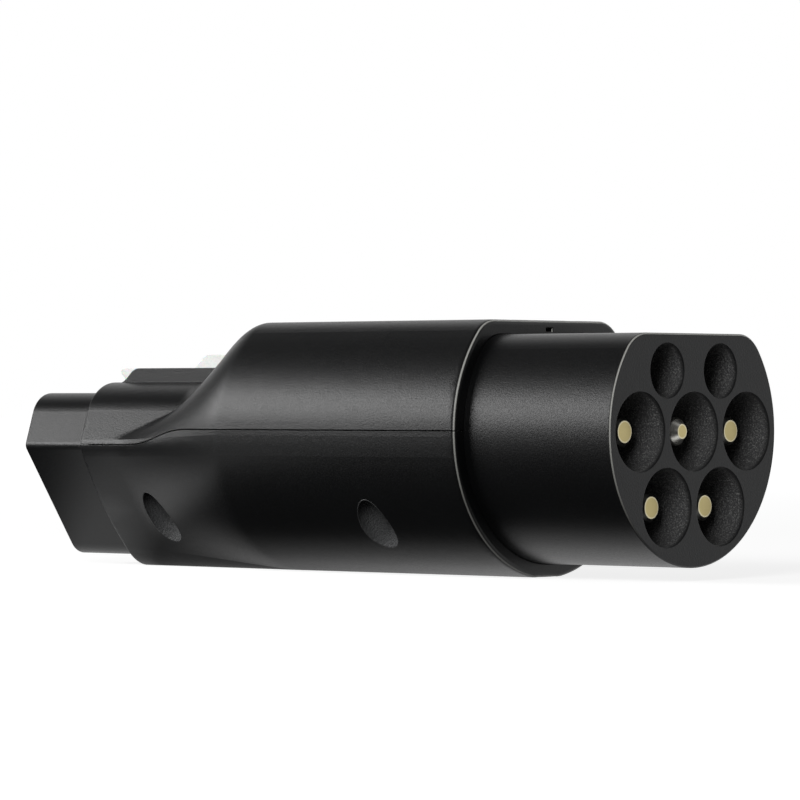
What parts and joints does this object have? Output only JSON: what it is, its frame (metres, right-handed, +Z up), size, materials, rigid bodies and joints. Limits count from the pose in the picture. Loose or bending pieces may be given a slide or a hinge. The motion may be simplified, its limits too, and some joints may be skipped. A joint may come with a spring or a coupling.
{
  "type": "ev charging adapter",
  "caption": "Hand-held EV charging adapter: D-shaped Type 2 nose with pins in deep wells, two-shell black housing, shield-shaped plug and a white rocker latch.",
  "frame": {"origin": "under the middle of the adapter, on the surface it stands on", "axes": "+X along the adapter towards the Type 2 face, +Y to its far side in the picture, +Z up"},
  "size_m": [0.1712, 0.0616, 0.0535],
  "materials": {
    "housing": "satin black, fine spark-eroded grain",
    "insulator": "satin black, fine grain",
    "inner_plate": "moulded, dark grey",
    "contact_pin": "turned brass, lightly plated",
    "contact_socket": "turned brass, lightly plated",
    "steel": "zinc plated",
    "seal": "silicone rubber",
    "latch": "translucent milky white",
    "resistor": "moulded sleeve",
    "lead_brown": "smooth insulation",
    "lead_blue": "smooth insulation",
    "lead_green": "smooth insulation, yellow stripe",
    "lead_grey": "smooth insulation"
  },
  "bodies": {
    "adapter": {"upper_housing": "housing", "lower_housing": "housing", "type2_nose": "insulator", "earth_pin": "contact_pin", "live_1_pin": "contact_pin", "neutral_pin": "contact_pin", "live_2_pin": "contact_pin", "live_3_pin": "contact_pin", "control_pilot_pin": "contact_pin", "proximity_pin": "contact_pin", "pin_retainer": "inner_plate", "retainer_screws": "steel", "nose_seal": "seal", "plug_nose": "insulator", "live_socket": "contact_socket", "neutral_socket": "contact_socket", "earth_socket": "contact_socket", "pilot_socket": "contact_socket", "proximity_socket": "contact_socket", "socket_retainer": "inner_plate", "socket_retainer_screws": "steel", "plug_seal": "seal", "latch_pivot_pin": "steel", "latch_spring": "steel", "housing_screws": "steel", "live_lead": "lead_brown", "neutral_lead": "lead_blue", "earth_lead": "lead_green", "pilot_lead": "lead_grey", "proximity_lead": "lead_grey", "coding_resistor": "resistor"},
    "latch": {"latch_lever": "latch"}
  },
  "joints": [
    {"name": "latch_rocker", "type": "hinge", "parent": "adapter", "child": "latch", "pos_m": [-0.0524, 0, 0.04141], "axis": [0, 1, 0], "range_deg": [0, 8], "stiffness_Nm_per_rad": 0.2, "springref_deg": -9.74, "deforming": ["latch_spring"]}
  ]
}
